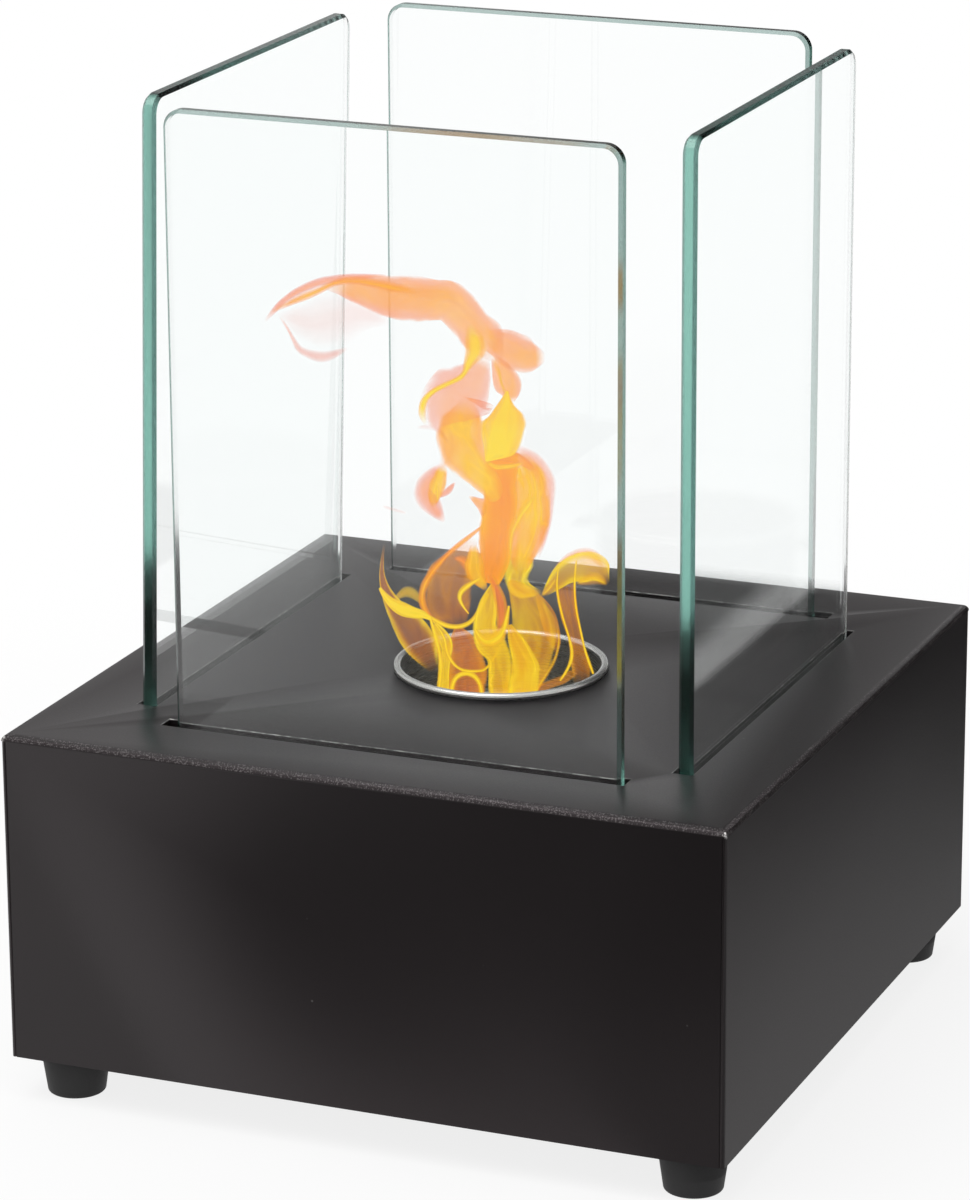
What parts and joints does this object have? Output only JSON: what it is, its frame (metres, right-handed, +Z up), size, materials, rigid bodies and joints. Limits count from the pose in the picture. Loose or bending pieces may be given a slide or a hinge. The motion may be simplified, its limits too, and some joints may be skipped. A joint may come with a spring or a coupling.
{
  "type": "bioethanol fireplace",
  "caption": "Square table-top bioethanol fireplace: dark folded-steel base on rubber feet, steel burner cup in its top, and loose clear glass panes standing in slots round the fire.",
  "frame": {"origin": "on the surface it stands on, under the middle of the housing", "axes": "+Z up, +Y from the front wall to the back wall, +X to the right as seen from the front"},
  "size_m": [0.2, 0.2, 0.2656],
  "materials": {
    "powder_coat": "dark grey fine-textured powder coat, semi-matt",
    "clear_glass": "clear float glass, tempered, green at the ground edges",
    "stainless": "satin stainless steel",
    "ceramic_wool": "white ceramic fibre",
    "silicone": "black silicone, matt",
    "foot_rubber": "black moulded rubber, matt",
    "zinc": "zinc-plated steel"
  },
  "bodies": {
    "base": {"housing": "powder_coat", "bottom_cover": "powder_coat", "glass_channel_front": "powder_coat", "glass_channel_right": "powder_coat", "glass_channel_back": "powder_coat", "glass_channel_left": "powder_coat", "seat_pad_front": "silicone", "seat_pad_right": "silicone", "seat_pad_back": "silicone", "seat_pad_left": "silicone", "foot_front_left": "foot_rubber", "foot_washer_front_left": "zinc", "foot_screw_front_left": "zinc", "foot_nut_front_left": "zinc", "foot_front_right": "foot_rubber", "foot_washer_front_right": "zinc", "foot_screw_front_right": "zinc", "foot_nut_front_right": "zinc", "foot_back_left": "foot_rubber", "foot_washer_back_left": "zinc", "foot_screw_back_left": "zinc", "foot_nut_back_left": "zinc", "foot_back_right": "foot_rubber", "foot_washer_back_right": "zinc", "foot_screw_back_right": "zinc", "foot_nut_back_right": "zinc"},
    "pane_front": {"glass_pane_front": "clear_glass"},
    "pane_right": {"glass_pane_right": "clear_glass"},
    "pane_back": {"glass_pane_back": "clear_glass"},
    "pane_left": {"glass_pane_left": "clear_glass"},
    "burner": {"burner_cup": "stainless", "ceramic_wool": "ceramic_wool", "perforated_disc": "stainless", "snap_ring": "stainless"}
  },
  "joints": [
    {"name": "glass_front_lift", "type": "slide", "parent": "base", "child": "pane_front", "axis": [0, 0, 1], "range_m": [0, 0.06]},
    {"name": "glass_right_lift", "type": "slide", "parent": "base", "child": "pane_right", "axis": [0, 0, 1], "range_m": [0, 0.06]},
    {"name": "glass_back_lift", "type": "slide", "parent": "base", "child": "pane_back", "axis": [0, 0, 1], "range_m": [0, 0.06]},
    {"name": "glass_left_lift", "type": "slide", "parent": "base", "child": "pane_left", "axis": [0.0264, 0, 0.9997], "range_m": [0, 0.06]},
    {"name": "burner_lift", "type": "slide", "parent": "base", "child": "burner", "axis": [0, 0, 1], "range_m": [0, 0.22]}
  ]
}
